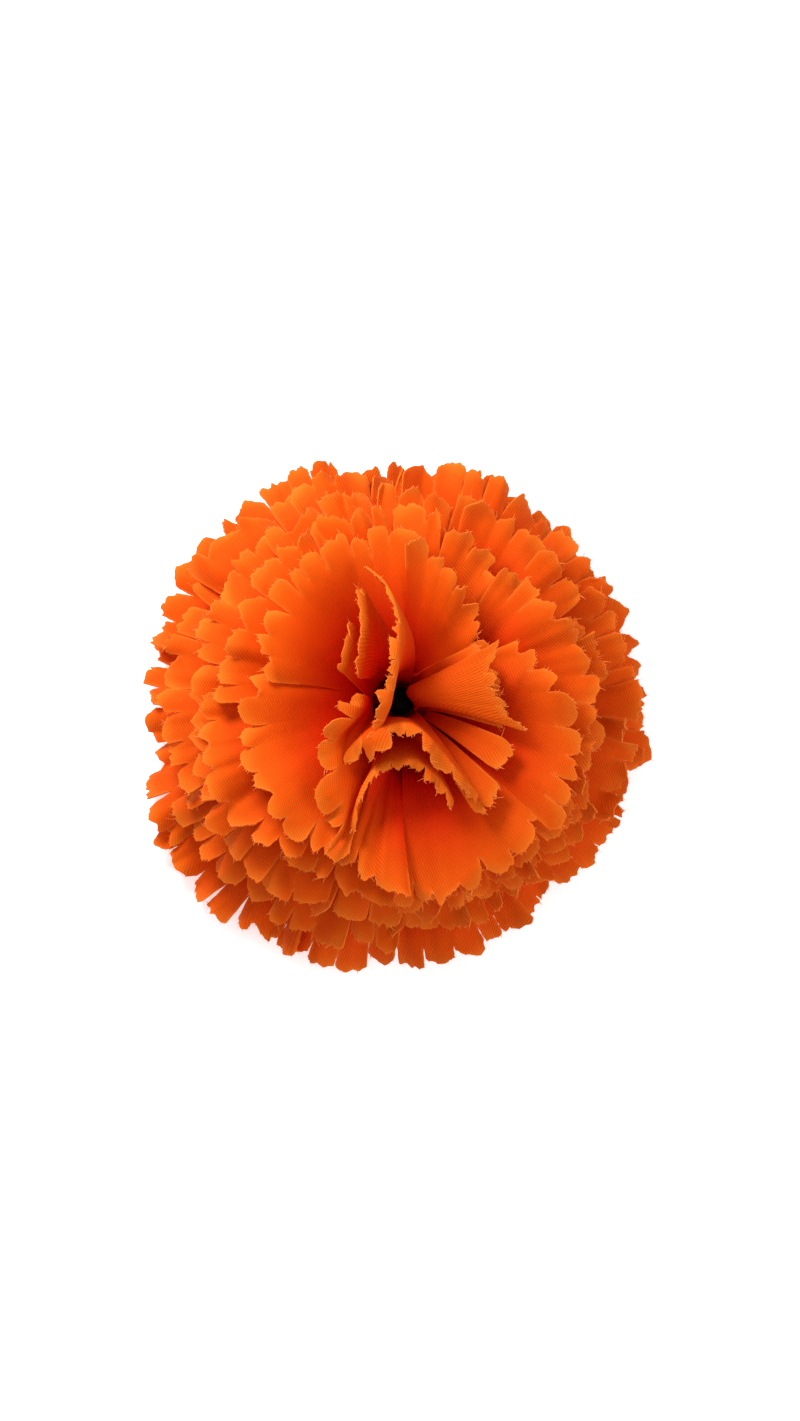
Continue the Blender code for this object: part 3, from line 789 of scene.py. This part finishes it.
DISC_7 = Disc("petal_disc_7_heart", 6, 2.1, 85, 50, 2.0, 40, (
    Fold(60, 215, 9.4, ((1.9, 0.0), (0.7, -0.3), (0.0, 0.0)), 14.0,
         ((-3.3, 13.1, 23.5), (-1.2, 10.6, 26.4), (0.0, 6.6, 28.4), (-0.2, 2.4, 28.6),
          (-1.0, -1.4, 27.6), (-2.4, -4.8, 25.5)), 0.04,
         (Tooth(1.8, 0.4, 80, "whole"), Tooth(2.0, 0.7, 80, "pinked"), Tooth(2.2, 0.6, 84, "whole"),
          Tooth(1.8, 0.8, 80, "pinked"), Tooth(1.8, 1.3, 76, "pinked"), Tooth(1.8, 1.4, 80, "whole"),
          Tooth(1.6, 1.0, 84, "pinked"), Tooth(1.2, 1.2, 76, "whole"), Tooth(2.6, 2.9, 76, "round"),
          Tooth(0.8, 1.2, 90, "whole"), Tooth(1.6, 2.0, 72, "round"))),
    Fold(215, 325, 8.4, UPRIGHT, 12.0,
         ((-5.4, -6.0, 24.0), (-3.6, -4.5, 25.4), (-0.8, -3.5, 26.8), (2.0, -4.0, 26.9),
          (4.8, -6.9, 25.8), (7.8, -10.2, 24.0)), 0.05,
         (Tooth(3.7, 1.6, 60, "whole"), Tooth(3.3, 4.0, 70, "round"), Tooth(1.9, 1.3, 86, "whole"),
          Tooth(2.1, 1.6, 84, "slanting"), Tooth(2.2, 2.5, 66, "slanting"), Tooth(1.8, 1.5, 80, "whole"),
          Tooth(1.7, 2.1, 60, "pinked"), Tooth(1.5, 1.6, 90, "pointed"))),
    Fold(325, 420, 8.0, ((-0.3, 0.2), (-2.4, 0.0), (-0.8, -0.6)), 12.0,
         ((12.0, -3.6, 23.2), (9.8, -1.6, 23.9), (8.6, 1.0, 24.6), (9.2, 4.8, 25.0)), 0.0,
         even_teeth(8, 1.2, 6, "pinked slanting whole pinked pointed"), 0.8),
))
FOLD_CUT = Cut((0.85, 1.1), 0, 0, 0.1, 0.03, {}, 1)


def along_curve(points, along):
    """The points at 0 to 1 along the smooth curve through the given points."""
    points = np.array(points, float)
    spans = len(points) - 1
    span = np.clip((along * spans).astype(int), 0, spans - 1)
    u = (along * spans - span)[..., None]
    start, end = points[span], points[span + 1]
    before, after = points[np.maximum(span - 1, 0)], points[np.minimum(span + 2, spans)]
    bent = (before * 2 - start * 5 + end * 4 - after) * u**2
    turned = (start * 3 - before - end * 3 + after) * u**3
    return (start * 2 + (end - before) * u + bent + turned) / 2


FULL_BULGE = 27 / 4


def fold_place(disc, fold, waves, across, run):
    """Where the points of a folded lobe lie: it rises from the hub, then leans out to its crest.

    A bulge has its full size two thirds of the way up, where share**2 * (1 - share) is 4 / 27.
    """
    azimuth = np.radians((fold.start + fold.end) / 2 + across * (fold.end - fold.start) / 2)
    radius = disc.fold + np.clip(run, None, 0)
    hub = 0 * radius + hub_height(disc)
    root = np.stack([radius * np.cos(azimuth), radius * np.sin(azimuth), hub], axis=-1)
    share = np.clip(run / fold.length, 0, None)[..., None]
    crest = along_curve(fold.crest, (across + 1) / 2)
    above = root * (1 - fold.inward, 1 - fold.inward, 1) + (0, 0, fold.stand)
    points = root * (1 - share) ** 2 + above * 2 * share * (1 - share) + crest * share**2
    bulge = [through_three([sideways[axis] for sideways in fold.bulge], across) for axis in (0, 1)]
    points = points + np.stack([*bulge, 0 * across], axis=-1) * FULL_BULGE * share**2 * (1 - share)
    outward = np.stack([np.cos(azimuth), np.sin(azimuth), 0 * azimuth], axis=-1)
    wave = sum(size * np.sin(turns * math.pi * across + phase) for turns, size, phase in waves)
    return points + outward * (wave * fold.ruffle)[..., None] * share**2


def tooth_length(fold, across):
    """How long the teeth are at places across a folded lobe, from one tooth's middle to the next one's."""
    slits = slits_between([tooth.width for tooth in fold.teeth])
    return np.interp(across, (slits[1:] + slits[:-1]) / 2, [tooth.length for tooth in fold.teeth])


FOLD_WAVES = (2, 3, 5)
CREST_POINTS = 40


def folded_lobe(cloth, disc, fold, draw):
    """Add a lobe that stands on edge, with its own listed teeth. Its flat cut is as wide as its crest."""
    waves = [(turns, draw.uniform(0.5, 1.2) / turns, draw.uniform(0, math.tau)) for turns in FOLD_WAVES]
    place = partial(fold_place, disc, fold, waves)
    length = partial(tooth_length, fold)
    hole = HUB_HOLE_R - disc.fold
    rim = along_curve(fold.crest, np.linspace(0, 1, CREST_POINTS))
    rim_length = np.linalg.norm(np.diff(rim, axis=0), axis=1).sum()
    arc_length = math.radians(fold.end - fold.start) * (disc.fold + fold.length)
    cut = FOLD_CUT._replace(gather=min(1.0, rim_length / arc_length))
    widths, _, turns, styles = zip(*fold.teeth)
    cut_lobe(cloth, disc, fold, cut, (widths, [-turn for turn in turns], styles), place,
             lambda across: fold.length + length(across), (hole, hole / 2, 0.0), draw, slit_scale=length)


for disc in (DISC_6, DISC_7):
    draw = np.random.default_rng(disc.step + SEED)
    cloth = Cloth([], [], [], [], [], [])
    for fold in disc.lobes:
        folded_lobe(cloth, disc, fold, draw)
    carrier = dress_disc(disc, cloth).name


# The floor, the lights and the camera: a plain white sweep that the flower stands on, soft light from the
# upper left as the photograph has it, and the camera nearly straight above the flower's face.
def floor_material():
    """Matt white with a little light of its own, so that it comes out as plain as the photograph's ground."""
    material, _, shader = new_material("white_floor")
    shader.inputs["Base Color"].default_value = (0.9, 0.9, 0.9, 1)
    shader.inputs["Roughness"].default_value = 0.9
    shader.inputs["Emission Color"].default_value = (1, 1, 1, 1)
    shader.inputs["Emission Strength"].default_value = 0.45
    return material


FLOOR_HALF = 3.0
FLOOR_Z = -0.0001
bpy.ops.mesh.primitive_plane_add(size=2 * FLOOR_HALF, location=(0, 0, FLOOR_Z))
floor = bpy.context.object
floor.name = "white_floor"
floor.data.materials.append(floor_material())


def soft_light(name, direction, distance, size, power):
    """A square soft box that looks at the flower from the given direction."""
    data = bpy.data.lights.new(name, "AREA")
    data.size = size
    data.energy = power
    light = bpy.data.objects.new(name, data)
    bpy.context.scene.collection.objects.link(light)
    light.location = Vector(direction).normalized() * distance
    light.rotation_euler = Vector(direction).to_track_quat("Z", "Y").to_euler()
    light.visible_camera = False


soft_light("key from the upper left", (-0.5, 0.6, 0.82), distance=0.102, size=0.035, power=0.101)
soft_light("fill from the right", (0.9, -0.4, 0.8), distance=0.5, size=0.25, power=0.8)

# The room lights the flower evenly from the sides and more strongly towards straight overhead
ROOM_LIGHT = (0.3, 0.8)
world = bpy.data.worlds.new("soft studio")
bpy.context.scene.world = world
world.use_nodes = True
room = world.node_tree
heading = room.nodes.new("ShaderNodeTexCoord")
height = room.nodes.new("ShaderNodeSeparateXYZ")
room.links.new(heading.outputs["Generated"], height.inputs["Vector"])
room_shader = room.nodes["Background"]
room_shader.inputs["Color"].default_value = (1, 1, 1, 1)
room.links.new(stretched(room, height.outputs["Z"], *ROOM_LIGHT), room_shader.inputs["Strength"])
bpy.context.scene.view_settings.view_transform = "Standard"

# At the height of AIM a pixel of the photograph is PIXEL wide, and the flower's axis is at AIM_PIXEL_Y
IMAGE_W = 800
IMAGE_H = 1421
PIXEL = 0.107 * MM
AIM_PIXEL_Y = 705
AIM = Vector((0, 0, 12 * MM))
DISTANCE = 0.36
ELEVATION = math.radians(84)
SENSOR_W = 36
camera = bpy.data.objects.new("camera", bpy.data.cameras.new("camera"))
bpy.context.scene.collection.objects.link(camera)
camera.data.sensor_fit = "HORIZONTAL"
camera.data.sensor_width = SENSOR_W
camera.data.lens = SENSOR_W * DISTANCE / (IMAGE_W * PIXEL)
camera.data.shift_y = (AIM_PIXEL_Y - IMAGE_H / 2) / IMAGE_W
camera.data.clip_start = 0.01
camera.location = AIM + DISTANCE * Vector((0, -math.cos(ELEVATION), math.sin(ELEVATION)))
camera.rotation_euler = (math.pi / 2 - ELEVATION, 0, 0)
bpy.context.scene.camera = camera
